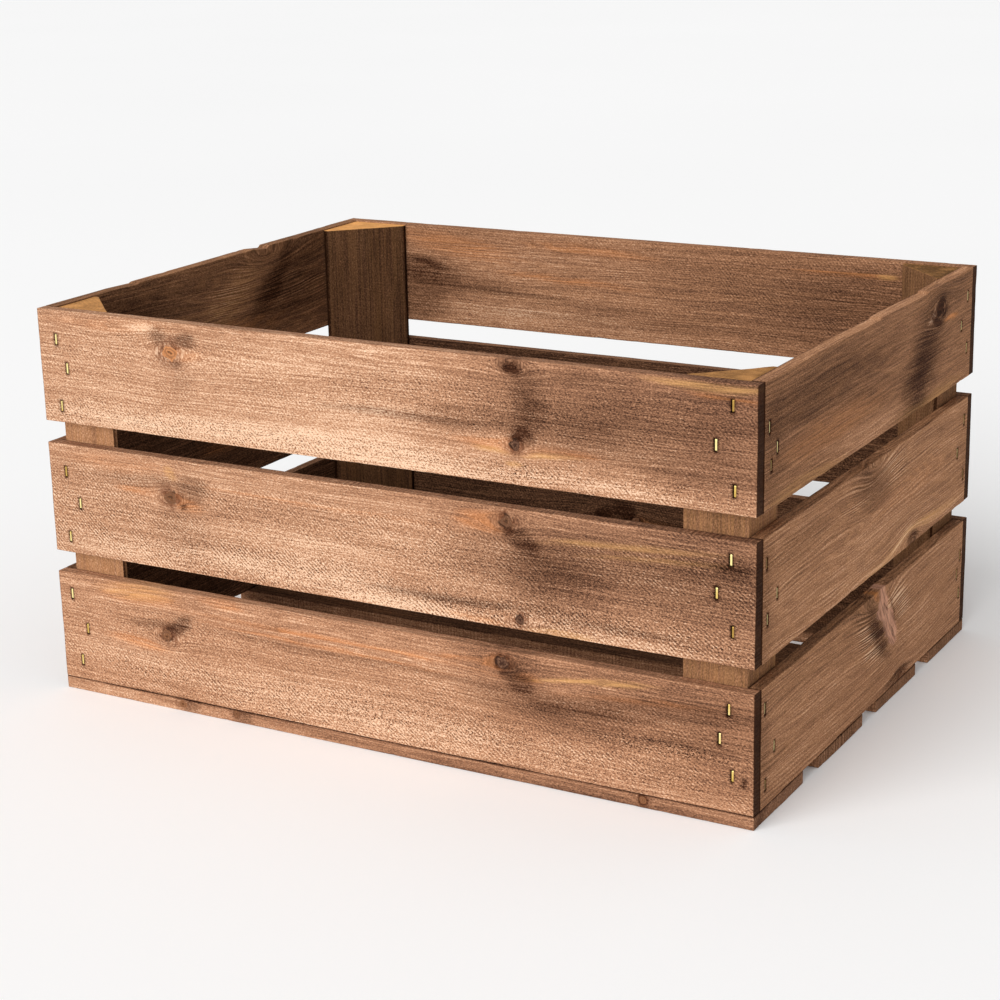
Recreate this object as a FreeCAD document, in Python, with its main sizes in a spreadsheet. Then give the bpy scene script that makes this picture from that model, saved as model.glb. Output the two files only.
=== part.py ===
"""A wooden apple crate, as a parametric document.

The crate stands on the floor, open at the top, with its length along X and its front towards -Y.
The origin is in the middle of its underside. Twelve side slats in three rows are stapled to four
three-cornered posts, and four bottom slats are stapled on from below. All lengths are in
millimetres and come from the sheet Sizes.
"""
import FreeCAD, Part
import math
import os

import Sketcher
from FreeCAD import Placement, Rotation, Vector

SIZES = (
    ("crate_length", 500, "outside, along X"),
    ("crate_width", 370, "outside, along Y"),
    ("slat_width", 74.5, "sides and bottom are cut from one board"),
    ("slat_thickness", 8.5, "sides and bottom alike"),
    ("row_gap", 14, "from one row of side slats up to the next"),
    ("post_leg", 40, "the two faces of a post that lie on the slats"),
    ("stout_post_leg", 45, "the same two faces of the back left post, sawn from stouter stock"),
    ("post_blunt", 4, "flat on each acute corner of a post"),
    ("post_drop", 1, "from the rim down to the top of a post"),
    ("staple_crown", 7, "outside width of a staple"),
    ("staple_leg", 22, "outside height of a staple"),
    ("staple_bend", 0.8, "outside radius of a staple's two bends"),
    ("staple_point", 1.6, "length of the chisel point on each leg"),
    ("wire_width", 1.2, "flat of the staple wire, seen on the crown"),
    ("wire_depth", 1, "thickness of the staple wire"),
    ("crown_sink", 0.4, "how far a crown is driven below the face"),
    ("slot_margin", 0.4, "crushed wood left open around a crown"),
    ("post_staple_inset", 13, "from a post's square corner, both ways"),
    ("edge_staple_pitch", 150, "staples up into the two long sides"),
)

UPRIGHT = Rotation(Vector(1, 0, 0), 90)
UPSIDE_DOWN = Rotation(Vector(1, 0, 0), 180)
ROWS = ("bottom", "middle", "top")
FULL_LENGTH = "Sizes.crate_length"
SHORT_LENGTH = "(Sizes.crate_width - 2 * Sizes.slat_thickness)"
ROW_PITCH = "(Sizes.slat_width + Sizes.row_gap)"
POST_HEIGHT = "3 * Sizes.slat_width + 2 * Sizes.row_gap - Sizes.post_drop"
INSIDE_HALF_LENGTH = "(Sizes.crate_length / 2 - Sizes.slat_thickness)"
INSIDE_HALF_WIDTH = "(Sizes.crate_width / 2 - Sizes.slat_thickness)"
BOTTOM_PITCH = "((Sizes.crate_width - Sizes.slat_width) / 3)"

# Staples of a side slat, three to an end, driven by hand and so never quite in line. Each is its
# inset from the slat's end and its drop from the slat's upper edge, and no two meet in a post.
LONG_SLAT_STAPLES = {
    "top": (((14, 19.5), (21.5, 38), (14.5, 63.5)), ((15, 13), (25, 36), (13.5, 61))),
    "middle": (((13.5, 19), (23.5, 39.5), (13, 63.5)), ((15.5, 12), (24, 32.5), (14, 54))),
    "bottom": (((10.5, 15), (21.5, 38), (15, 61)), ((16, 12), (21.5, 30.5), (13.5, 52))),
}
SHORT_SLAT_STAPLES = {
    "top": (((7, 27), (18.5, 41), (10, 49.5)), ((9, 18), (20.5, 36), (8, 53.5))),
    "middle": (((5.5, 16), (21, 38), (7.5, 49.5)), ((7, 15), (19, 36), (5.5, 54))),
    "bottom": (((5.5, 13.5), (20, 41.5), (7.5, 61)), ((4.5, 24), (10, 36.5), (4.5, 52))),
}
# Staples of a bottom slat into the lower edges of the short sides, across from its outer edge.
OUTER_SLAT_EDGE_STAPLES = (60,)
INNER_SLAT_EDGE_STAPLES = (22, 52)

SIDES = (
    # name, turn about Z, slat length, from the crate's middle to the slats' inner face, staples
    ("front", 0, FULL_LENGTH, INSIDE_HALF_WIDTH, LONG_SLAT_STAPLES),
    ("right", 90, SHORT_LENGTH, INSIDE_HALF_LENGTH, SHORT_SLAT_STAPLES),
    ("back", 180, FULL_LENGTH, INSIDE_HALF_WIDTH, LONG_SLAT_STAPLES),
    ("left", 270, SHORT_LENGTH, INSIDE_HALF_LENGTH, SHORT_SLAT_STAPLES),
)
POSTS = (
    # name, turn about Z, signs of the corner's X and Y, leg, the outer bottom slat below it
    ("front_left", 0, -1, -1, "Sizes.post_leg", "bottom_slat_front"),
    ("front_right", 90, 1, -1, "Sizes.post_leg", "bottom_slat_front"),
    ("back_right", 180, 1, 1, "Sizes.post_leg", "bottom_slat_back"),
    ("back_left", 270, -1, 1, "Sizes.stout_post_leg", "bottom_slat_back"),
)
BOTTOM_SLATS = ("bottom_slat_front", "bottom_slat_mid_front", "bottom_slat_mid_back", "bottom_slat_back")

doc = FreeCAD.newDocument("apple_crate")
sheet = doc.addObject("Spreadsheet::Sheet", "Sizes")


def fill_sheet():
    """Write one row for each driving size: its name, its value and what it measures."""
    for row, (alias, value, note) in enumerate(SIZES, start=1):
        sheet.set(f"A{row}", alias)
        sheet.set(f"B{row}", str(value))
        sheet.set(f"C{row}", note)
        sheet.setAlias(f"B{row}", alias)
    doc.recompute()


def value_of(expression):
    """Work out an expression of the sheet's sizes."""
    return float(sheet.evalExpression(expression))


def draw_outlines(body, plane_role, name, outlines):
    """Draw closed outlines in one sketch, with every corner held by its two expressions."""
    sketch = body.newObject("Sketcher::SketchObject", name)
    plane = next(plane for plane in body.Origin.OriginFeatures if plane.Role == plane_role)
    sketch.AttachmentSupport = [(plane, "")]
    sketch.MapMode = "FlatFace"
    for corners in outlines:
        first = sketch.GeometryCount
        points = [Vector(value_of(x), value_of(y), 0) for x, y in corners]
        for start, end in zip(points, points[1:] + points[:1]):
            sketch.addGeometry(Part.LineSegment(start, end), False)
        for index, corner in enumerate(corners):
            line = first + index
            next_line = first + (index + 1) % len(corners)
            sketch.addConstraint(Sketcher.Constraint("Coincident", line, 2, next_line, 1))
            for kind, expression in zip(("DistanceX", "DistanceY"), corner):
                size = Sketcher.Constraint(kind, -1, 1, line, 1, value_of(expression))
                number = sketch.addConstraint(size)
                sketch.setExpression(f"Constraints[{number}]", expression)
    return sketch


def rectangle(low_x, low_y, high_x, high_y):
    """The four corners of a rectangle, as pairs of expressions."""
    return ((low_x, low_y), (high_x, low_y), (high_x, high_y), (low_x, high_y))


def make_staple():
    """A flat wire bent into a U: its crown lies along Y with its top at Z = 0, and its legs go down."""
    body = doc.addObject("PartDesign::Body", "staple")
    half = "Sizes.staple_crown / 2"
    inner = "Sizes.staple_crown / 2 - Sizes.wire_depth"
    shoulder = "-(Sizes.staple_leg - Sizes.staple_point)"
    outline = (
        (f"-({half})", "0"),
        (f"-({half})", shoulder),
        (f"-({inner})", "-Sizes.staple_leg"),
        (f"-({inner})", "-Sizes.wire_depth"),
        (inner, "-Sizes.wire_depth"),
        (inner, "-Sizes.staple_leg"),
        (half, shoulder),
        (half, "0"),
    )
    sketch = draw_outlines(body, "YZ_Plane", "staple_outline", (outline,))
    wire = body.newObject("PartDesign::Pad", "staple_wire")
    wire.Profile = sketch
    wire.Midplane = True
    wire.setExpression("Length", "Sizes.wire_width")
    doc.recompute()
    half_crown = value_of(half)
    bends = [
        f"Edge{number}"
        for number, edge in enumerate(wire.Shape.Edges, start=1)
        if abs(edge.CenterOfMass.z) < 1e-6 and abs(abs(edge.CenterOfMass.y) - half_crown) < 1e-6
    ]
    rounded = body.newObject("PartDesign::Fillet", "staple_bends")
    rounded.Base = (wire, bends)
    rounded.setExpression("Radius", "Sizes.staple_bend")
    return body


def crown_slot(x, y, turned):
    """The rectangle crushed into a slat around one staple's crown."""
    half_wide = "Sizes.wire_width / 2 + Sizes.slot_margin"
    half_long = "Sizes.staple_crown / 2 + Sizes.slot_margin"
    half_x, half_y = (half_long, half_wide) if turned else (half_wide, half_long)
    return rectangle(f"{x} - ({half_x})", f"{y} - ({half_y})", f"{x} + {half_x}", f"{y} + {half_y}")


def make_blank(name, length, staples):
    """A slat with its crown slots: length along X, width up Y from 0, outer face towards +Z."""
    body = doc.addObject("PartDesign::Body", f"{name}_blank")
    face = rectangle(f"-{length} / 2", "0", f"{length} / 2", "Sizes.slat_width")
    board = body.newObject("PartDesign::Pad", f"{name}_board")
    board.Profile = draw_outlines(body, "XY_Plane", f"{name}_face", (face,))
    board.setExpression("Length", "Sizes.slat_thickness")
    doc.recompute()
    volume_before = body.Shape.Volume
    slots = draw_outlines(body, "XY_Plane", f"{name}_slots", [crown_slot(*staple) for staple in staples])
    slots.setExpression("AttachmentOffset.Base.z", "Sizes.slat_thickness")
    pocket = body.newObject("PartDesign::Pocket", f"{name}_crowns")
    pocket.Profile = slots
    pocket.setExpression("Length", "Sizes.crown_sink + Sizes.wire_depth")
    doc.recompute()
    if body.Shape.Volume >= volume_before:
        raise RuntimeError(f"{name}: the crown slots cut nothing")
    return body


def place(thing, rotation, x, y, z):
    """Turn a piece and bind its position to three expressions."""
    thing.Placement = Placement(Vector(), rotation)
    for axis, expression in zip("xyz", (x, y, z)):
        thing.setExpression(f"Placement.Base.{axis}", expression)


def drive_staples(name, blank, staple, places):
    """Set a linked copy of the staple in each of a slat's slots, as one group."""
    copies = []
    for number, (x, y, turned) in enumerate(places, start=1):
        copy = doc.addObject("App::Link", f"{name}_staple_{number}")
        copy.LinkedObject = staple
        height = "Sizes.slat_thickness - Sizes.crown_sink"
        turn = 90 if turned else 0
        copy.setExpression(
            "LinkPlacement",
            f"{blank.Name}.Placement"
            f" * placement(vector({x}; {y}; {height}); rotation(vector(0; 0; 1); {turn}))",
        )
        copies.append(copy)
    group = doc.addObject("Part::Compound", f"{name}_staples")
    group.Links = copies
    return group


def side_slat_staples(length, ends):
    """Where a side slat's staples go, on the slat's own face, its left end first."""
    places = []
    for sign, end in zip("-+", ends):
        inwards = "+" if sign == "-" else "-"
        for inset, drop in end:
            x = f"({sign}{length} / 2 {inwards} {inset})"
            places.append((x, f"(Sizes.slat_width - {drop})", False))
    return places


def bottom_slat_staples(outer):
    """Where a bottom slat's staples go, with its outer edge at Y = 0 or, inside, either edge."""
    places = []
    across = OUTER_SLAT_EDGE_STAPLES if outer else INNER_SLAT_EDGE_STAPLES
    corner = "(Sizes.slat_thickness + Sizes.post_staple_inset)"
    for sign, inwards in (("-", "+"), ("+", "-")):
        for y in across:
            x = f"({sign}Sizes.crate_length / 2 {inwards} Sizes.slat_thickness / 2)"
            places.append((x, f"{y}", False))
        if outer:
            places.append((f"({sign}Sizes.crate_length / 2 {inwards} {corner})", corner, False))
    if outer:
        for step in (-1, 0, 1):
            places.append((f"({step} * Sizes.edge_staple_pitch)", "(Sizes.slat_thickness / 2)", True))
    return places


def make_side_slats(staple):
    """The blanks and staple groups of the three rows on each of the four sides."""
    blanks = {}
    groups = {}
    for side, turn, length, reach, rows in SIDES:
        rotation = Rotation(Vector(0, 0, 1), turn) * UPRIGHT
        out_x = round(math.sin(math.radians(turn)))
        out_y = -round(math.cos(math.radians(turn)))
        for level, row in enumerate(ROWS):
            name = f"{side}_slat_{row}"
            places = side_slat_staples(length, rows[row])
            blank = make_blank(name, length, places)
            rise = f"Sizes.slat_thickness + {level} * {ROW_PITCH}"
            place(blank, rotation, f"{out_x} * {reach}", f"{out_y} * {reach}", rise)
            blanks[name] = blank
            groups[name] = drive_staples(name, blank, staple, places)
    return blanks, groups


def make_bottom_slats(staple):
    """The blanks and staple groups of the four slats under the crate, from front to back."""
    blanks = {}
    groups = {}
    for index, name in enumerate(BOTTOM_SLATS):
        outer = index in (0, len(BOTTOM_SLATS) - 1)
        at_front = index < len(BOTTOM_SLATS) / 2
        places = bottom_slat_staples(outer)
        blank = make_blank(name, FULL_LENGTH, places)
        # The slat's outer edge is its Y = 0 edge, so a front slat is also turned end for end.
        turn = 180 if at_front else 0
        rotation = Rotation(Vector(0, 0, 1), turn) * UPSIDE_DOWN
        outer_edge = f"-Sizes.crate_width / 2 + {index} * {BOTTOM_PITCH}"
        if not at_front:
            outer_edge += " + Sizes.slat_width"
        place(blank, rotation, "0", outer_edge, "Sizes.slat_thickness")
        blanks[name] = blank
        groups[name] = drive_staples(name, blank, staple, places)
    return blanks, groups


def make_post_blank(name, turn, sign_x, sign_y, leg):
    """A square bar sawn along its diagonal, its square corner against the slats' inner faces."""
    body = doc.addObject("PartDesign::Body", f"{name}_blank")
    section = (
        ("0", "0"),
        (leg, "0"),
        (leg, "Sizes.post_blunt"),
        ("Sizes.post_blunt", leg),
        ("0", leg),
    )
    bar = body.newObject("PartDesign::Pad", f"{name}_bar")
    bar.Profile = draw_outlines(body, "XY_Plane", f"{name}_section", (section,))
    bar.setExpression("Length", POST_HEIGHT)
    rotation = Rotation(Vector(0, 0, 1), turn)
    corner_x = f"{sign_x} * {INSIDE_HALF_LENGTH}"
    corner_y = f"{sign_y} * {INSIDE_HALF_WIDTH}"
    place(body, rotation, corner_x, corner_y, "Sizes.slat_thickness")
    return body


def stapled_wood(name, blank, groups):
    """A piece of wood with the holes that the legs of all its staples fill."""
    legs = doc.addObject("Part::Compound", f"{name}_legs")
    legs.Links = groups
    wood = doc.addObject("Part::Cut", name)
    wood.Base = blank
    wood.Tool = legs
    return wood


def groups_in_slat(name, groups):
    """The staple groups with legs in a slat: its own, and in the lowest row those from below."""
    entering = [groups[name]]
    if name in ("left_slat_bottom", "right_slat_bottom"):
        entering += [groups[below] for below in BOTTOM_SLATS]
    if name in ("front_slat_bottom", "back_slat_bottom"):
        entering.append(groups[f"bottom_slat_{name.split('_')[0]}"])
    return entering


def build():
    """Build every piece and return those that make up the crate."""
    fill_sheet()
    staple = make_staple()
    blanks, groups = make_side_slats(staple)
    bottom_blanks, bottom_groups = make_bottom_slats(staple)
    blanks.update(bottom_blanks)
    groups.update(bottom_groups)
    pieces = list(groups.values())
    for name, blank in blanks.items():
        pieces.append(stapled_wood(name, blank, groups_in_slat(name, groups)))
    for corner, turn, sign_x, sign_y, leg, below in POSTS:
        name = f"post_{corner}"
        blank = make_post_blank(name, turn, sign_x, sign_y, leg)
        sides = corner.split("_")
        entering = [groups[f"{side}_slat_{row}"] for side in sides for row in ROWS]
        pieces.append(stapled_wood(name, blank, entering + [groups[below]]))
    doc.recompute()
    return pieces


def check(pieces):
    """Stop if a feature failed, or if a piece is empty or not a valid solid."""
    failed = [thing.Name for thing in doc.Objects if {"Invalid", "Error"} & set(thing.State)]
    if failed:
        raise RuntimeError(f"failed features: {failed}")
    for piece in pieces:
        solids = piece.Shape.Solids
        if piece.Shape.isNull() or not piece.Shape.isValid() or not solids:
            raise RuntimeError(f"{piece.Label} has no valid shape")
        if not piece.Label.endswith("_staples") and len(solids) != 1:
            raise RuntimeError(f"{piece.Label} is in {len(solids)} pieces")


def write(pieces):
    """Write each piece to a file with its own name."""
    os.makedirs("parts", exist_ok=True)
    for piece in pieces:
        piece.Shape.exportStep(f"parts/{piece.Label}.step")


crate_pieces = build()
check(crate_pieces)
write(crate_pieces)
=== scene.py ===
"""Looks of a wooden apple crate: sawn, brown-stained slats stapled to corner posts.

Every wooden CAD node is replaced by a detailed mesh of the same board or post. The staples keep
their CAD meshes and get a brassy wire material. Lengths are in millimetres until a mesh is made.
"""

import math
from functools import partial, reduce
from types import SimpleNamespace
from typing import NamedTuple

import bpy
import numpy as np
from mathutils import Matrix, Vector


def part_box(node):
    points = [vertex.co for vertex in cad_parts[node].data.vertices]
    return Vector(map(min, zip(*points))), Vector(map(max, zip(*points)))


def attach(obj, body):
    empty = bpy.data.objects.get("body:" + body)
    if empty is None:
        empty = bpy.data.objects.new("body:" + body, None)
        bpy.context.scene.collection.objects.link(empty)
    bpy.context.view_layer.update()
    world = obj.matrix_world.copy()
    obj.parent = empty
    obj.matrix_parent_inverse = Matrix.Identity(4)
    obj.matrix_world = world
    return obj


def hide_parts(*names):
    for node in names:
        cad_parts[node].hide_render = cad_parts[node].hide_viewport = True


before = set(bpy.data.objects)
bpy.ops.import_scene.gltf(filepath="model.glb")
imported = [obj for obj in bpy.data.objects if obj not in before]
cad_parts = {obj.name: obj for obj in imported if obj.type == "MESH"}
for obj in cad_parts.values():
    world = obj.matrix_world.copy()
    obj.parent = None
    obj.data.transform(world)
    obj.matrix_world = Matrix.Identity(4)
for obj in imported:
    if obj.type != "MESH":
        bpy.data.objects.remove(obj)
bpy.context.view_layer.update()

MM = 0.001
X_AXIS = Vector((1, 0, 0))
Y_AXIS = Vector((0, 1, 0))
Z_AXIS = Vector((0, 0, 1))

# Mesh spacing, in mm. Grid lines stand closer together at edges, and never closer than GRID_ROOM.
BOARD_STEP = 1.6
EDGE_LINES = (0.0, 0.22, 0.5, 0.9, 1.5)
GRID_ROOM = 0.4

# The slot round each staple's crown, in mm, and how far the painted shade round a slot reaches onto the
# wood beside it.
SLOT_MARGIN = 0.4
SLOT_WALL = 0.12
SLOT_DEPTH = 1.45
CROWN_DEPTH = 1.5
SLOT_SHADE_REACH = (0.1, 1.3)

# Wear of the boards, in mm.
EDGE_ROUND = 0.45
CHIP_INSET = 14.0
CHIP_LENGTH = (1.5, 6.0)
CHIP_DEPTH = (0.3, 1.1)
CHIPS_PER_EDGE = 9
LONG_CHIP_HEIGHT = 14.0
LONG_CHIP_BREAK = 2.5
FACE_HOLLOW = 0.22
EDGE_WANDER = 0.45
END_WANDER = 0.7
END_WANDER_POWER = 8
SCAR_DEPTH = 0.7

# Posts, in mm. The long face is the one sawn along the diagonal.
POST_BLUNT = 4.0
POST_EASE = 0.5
POST_STEP = 2.0
POST_RISE = 2.8
POST_MIDDLE = 0.36
POST_END_RINGS = (0.985, 0.95, 0.86, 0.74, 0.6, 0.45, 0.3, 0.15)
LONG_FACE_HOLLOW = 0.5
WANEY_HEIGHT = 28.0

# Studio. Angles are in degrees: side turns from the crate's front towards its right.
FLOOR_HALF = 12.0
FLOOR_CELLS = 6
WORLD_LIGHT = 0.5
KEY_LIGHT = 2.6
KEY_SPREAD = 60.0
KEY_SIDE = -8.0
KEY_LIFT = 35.0
KEY_DISTANCE = 3.0
CAMERA_AIM = Vector((-8.0, -16.2, 116.7)) * MM
CAMERA_DISTANCE = 1.4876
CAMERA_SIDE = 29.92
CAMERA_LIFT = 16.76
CAMERA_ROLL = -1.311
CAMERA_LENS = 79.97
CAMERA_SENSOR = 36.0
CAMERA_CLIP = 100.0


# Repeatable noise. Each use of it adds a number of its own to the seed, so that no two are alike.


def lattice(ix, iy, seed):
    """A fixed value from 0 to 1 for each whole-number point."""
    mixed = (ix * 374761393 + iy * 668265263 + seed * 974634777) & 0xFFFFFFFF
    mixed = ((mixed ^ (mixed >> 13)) * 1274126177) & 0xFFFFFFFF
    return ((mixed ^ (mixed >> 16)) & 0xFFFFFFFF) / 0xFFFFFFFF


def smooth_noise(x, y, seed):
    """Smooth noise from 0 to 1 with features one unit wide."""
    x, y = np.broadcast_arrays(np.asarray(x, float), np.asarray(y, float))
    ix = np.floor(x).astype(np.int64)
    iy = np.floor(y).astype(np.int64)
    fx = fade(x - ix, 0, 1)
    fy = fade(y - iy, 0, 1)
    low = lattice(ix, iy, seed) * (1 - fx) + lattice(ix + 1, iy, seed) * fx
    high = lattice(ix, iy + 1, seed) * (1 - fx) + lattice(ix + 1, iy + 1, seed) * fx
    return low * (1 - fy) + high * fy


def noise(x, y, seed, layers=3):
    """Smooth noise with finer layers added, from 0 to 1."""
    total = 0.0
    weights = 0.0
    for layer in range(layers):
        weight = 0.5**layer
        total = total + weight * smooth_noise(x * 2**layer, y * 2**layer, seed + 17 * layer)
        weights += weight
    return total / weights


def sway(x, y, seed):
    """Layered noise from -0.5 to 0.5."""
    return noise(x, y, seed) - 0.5


def fade(value, low, high):
    """0 below low, 1 above high and smooth between them."""
    t = np.clip((value - low) / (high - low), 0, 1)
    return t * t * (3 - 2 * t)


# What each board looks like. Places are (u, drop) in mm: u along the board from its left end as
# seen from outside the crate, drop down from its upper edge. Depth is below its outer face.


class Look(NamedTuple):
    """The figure of one board.

    A knot is (u, drop, radius, kind): kind 0 is a dark dead knot, 1 a live orange one, and -1 none
    at all, only grain that bends. A row of marks is a kind with the values of one or more marks.
    A long chip is (start, stop, depth) along the upper edge.
    """

    tone: float = 0.6  # from 0, dark, to 1, pale
    saw: tuple = (55, 0.8)  # angle in degrees and strength of the saw marks
    knots: tuple = ()
    marks: tuple = ()
    chips: tuple = ()
    inside: bool = False  # the marks are on the inner face, and u runs from the other end
    wave: float = 3.0  # how far the grain strays, in mm
    rough: float = 0.35  # torn pits
    warmth: float = 0.0
    gold: float = 0.0
    end: float = 1.0  # how much the end grain differs
    edges: float = 1.0  # how dark the sawn edges are, or how pale where it is negative
    comb: float = 0.0
    lean: float = 0.0  # how far a knot's drop moves for each mm of depth


class Mark(NamedTuple):
    """The place, half size, strength and slant in degrees of a mark on a board."""

    u: float
    drop: float
    half_length: float
    half_height: float
    amount: float
    slant: float = 0.0


# pale and dim change the tone, and the dim marks at the right ends of the front boards are painted
# shade; dark adds brown-black stain, and beside the scar painted shadow; warm and yellow add their
# colour along the grain, rough adds torn pits, smooth takes the saw marks away, sawn deepens them,
# scar adds bared wood a little below the surface and comb deepens the lines of the grain.
MARK_KINDS = ("pale", "dim", "dark", "warm", "yellow", "rough", "smooth", "sawn", "scar", "comb")

LOOKS = {}
LOOKS["front_slat_top"] = Look(
    tone=0.7,
    saw=(-49, 0.75),
    edges=0.3,
    knots=((105, 19.5, 5, 1), (350, 50.7, 3.4, 0), (348, 3, 4, -1)),
    marks=(
        ("dark", (96, 9, 8, 6, 0.45, 20), (118, 11, 9, 6, 0.6), (110, 26, 6, 3, 0.35, -20)),
        ("dark", (114, 38, 10, 16, 0.16), (355, 44, 8.5, 5.5, 0.6, 20), (350, 46, 5, 3, 0.7)),
        ("dark", (358, 22, 15, 24, 0.55), (349, 4, 7, 5, 0.5)),
        ("dim", (378, 26, 64, 28, 0.13), (312, 30, 28, 44, 0.08), (490, 5, 36, 12, 0.09)),
        ("pale", (100, 68, 60, 12, 0.09), (145, 46, 34, 12, 0.06)),
        ("sawn", (250, 67, 260, 11, 0.9)),
        ("dark", (440, 28, 100, 20, 0.36), (390, 42, 55, 14, 0.3, 6), (320, 38, 40, 8, 0.25)),
        ("dim", (440, 6, 120, 26, 0.2), (338, 12, 24, 30, 0.1), (425, 30, 90, 22, 0.08)),
        ("dark", (275, 40, 60, 3, 0.4), (348, 6, 8, 5, 0.6), (400, 8, 40, 4, 0.3)),
        ("dark", (470, 52, 50, 12, 0.3)),
        # Painted shade: these dim marks darken the right end of the board, where the light falls off.
        ("dim", (500, 30, 70, 50, 0.18), (440, 50, 110, 30, 0.1)),
        ("warm", (328, 50, 24, 2.6, 0.75), (382, 52, 26, 2.6, 1), (120, 19, 12, 1.6, 0.4)),
        ("yellow", (349, 59.5, 6, 2, 0.9), (372, 54, 20, 1.6, 0.7), (335, 53, 14, 1.6, 0.6)),
        ("yellow", (470, 3, 42, 3, 0.7)),
        ("warm", (480, 9, 26, 1.6, 0.9, 2), (60, 6, 60, 4, 0.3)),
        ("pale", (82, 6, 16, 2.2, 0.28), (230, 5, 60, 2.5, 0.12)),
        ("dark", (200, 1, 120, 1.5, 0.25)),
        ("pale", (60, 40, 90, 44, 0.05), (215, 46, 70, 12, 0.1), (220, 66, 130, 13, 0.2)),
        ("pale", (55, 68, 60, 10, 0.1), (395, 68, 60, 8, 0.12), (180, 22, 60, 8, 0.06)),
        ("rough", (200, 66, 300, 9, 0.8), (330, 30, 170, 16, 0.4)),
        ("smooth", (250, 4, 300, 8, 0.9), (350, 53, 60, 5, 0.7)),
    ),
)
LOOKS["front_slat_middle"] = Look(
    tone=0.67,
    saw=(-43, 1.35),
    knots=((98, 25.5, 4.6, 0.25), (343, 9, 4.2, 0.15), (350.5, 68, 2.8, 0)),
    marks=(
        ("dark", (352, 18, 14, 9, 0.55, 30), (374, 40, 36, 30, 0.32)),
        ("dim", (376, 40, 40, 24, 0.08)),
        ("sawn", (250, 62, 260, 13, 0.6)),
        ("dim", (420, 8, 110, 20, 0.15), (345, 30, 44, 30, 0.03), (312, 20, 28, 30, 0.07)),
        ("pale", (225, 48, 60, 11, 0.08), (285, 71, 60, 7, 0.12)),
        ("dim", (395, 45, 80, 20, 0.15), (455, 30, 100, 44, 0.06)),
        ("dark", (300, 60, 60, 2.6, 0.6), (420, 61, 50, 2.2, 0.4), (445, 24, 110, 26, 0.42)),
        ("dark", (345, 35, 50, 22, 0.22)),
        # Painted shade: this dim mark darkens the right end of the board, where the light falls off.
        ("dim", (500, 34, 60, 50, 0.2)),
        ("dark", (115, 19, 14, 10, 0.4, -20), (108, 31, 3.5, 2, 0.8, -20), (75, 19, 40, 6, 0.25)),
        ("dark", (105, 48, 30, 14, 0.14), (487, 17, 14, 7, 0.4)),
        ("dim", (470, 66, 60, 14, 0.08)),
        ("warm", (72, 25, 18, 2.4, 0.9), (113, 29, 12, 3.4, 0.8, 8), (325, 9, 20, 5, 0.8)),
        ("yellow", (99, 9, 4, 6, 0.7, -40)),
        ("warm", (60, 8, 45, 6, 0.3)),
        ("yellow", (425, 11, 60, 2, 0.6, -4), (440, 16, 45, 1.6, 0.5, -5)),
        ("warm", (200, 16, 110, 1.5, 0.5), (320, 67, 25, 2, 0.5)),
        ("yellow", (375, 68, 25, 2.4, 0.6)),
        ("pale", (200, 61, 90, 9, 0.17), (270, 70, 60, 6, 0.16), (60, 68, 60, 10, 0.12)),
        ("pale", (190, 42, 90, 10, 0.06), (430, 70, 70, 5, 0.16)),
        ("smooth", (250, 5, 300, 9, 0.8), (98, 26, 30, 9, 0.9)),
        ("rough", (250, 60, 260, 12, 0.6), (250, 35, 300, 16, 0.3)),
    ),
)
LOOKS["front_slat_bottom"] = Look(
    tone=0.65,
    edges=0.2,
    saw=(-42, 0.85),
    knots=((88, 32, 4.4, 0.3), (338, 8, 3.8, 0)),
    marks=(
        ("dark", (98, 25, 14, 6, 0.75, -35), (75, 27, 18, 3.5, 0.35), (349, 16, 13, 9, 0.65, 30)),
        ("dark", (494, 55, 2, 4, 1, 10)),
        ("dim", (338, 8, 40, 16, 0.26), (440, 8, 90, 16, 0.12), (395, 36, 60, 14, 0.13)),
        ("dark", (395, 32, 40, 12, 0.26)),
        ("dim", (350, 42, 34, 40, 0.08), (104, 68, 22, 10, 0.06)),
        ("pale", (145, 8, 26, 10, 0.05)),
        ("sawn", (250, 58, 260, 18, 1.2)),
        ("dark", (440, 20, 80, 9, 0.45, -5), (345, 26, 40, 12, 0.3), (250, 22, 130, 3, 0.3)),
        ("dark", (346, 74, 12, 3, 0.6), (470, 33, 40, 8, 0.3)),
        # Painted shade: these dim marks darken the right end of the board, where the light falls off.
        ("dim", (500, 34, 70, 50, 0.18), (440, 16, 100, 30, 0.06)),
        ("warm", (66, 38, 26, 4, 0.7, 2)),
        ("yellow", (66, 6, 32, 6, 0.5)),
        ("warm", (66, 8, 36, 7, 0.5), (134, 4, 18, 3.5, 0.8), (215, 13, 120, 1.5, 0.9)),
        ("warm", (215, 19, 100, 1.3, 0.8, 1), (300, 9, 50, 1.4, 0.7, -4)),
        ("warm", (354, 12, 10, 3.5, 0.9, 10)),
        ("yellow", (400, 9, 42, 1.6, 0.9, -6)),
        ("warm", (430, 15, 60, 2, 0.4, -5)),
        ("pale", (230, 58, 190, 22, 0.1), (290, 66, 90, 10, 0.08), (60, 52, 60, 14, 0.08)),
        ("smooth", (250, 8, 300, 14, 0.9)),
        ("rough", (440, 41, 45, 6, 1.3), (250, 58, 260, 18, 0.8)),
    ),
    warmth=0.06,
)
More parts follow.
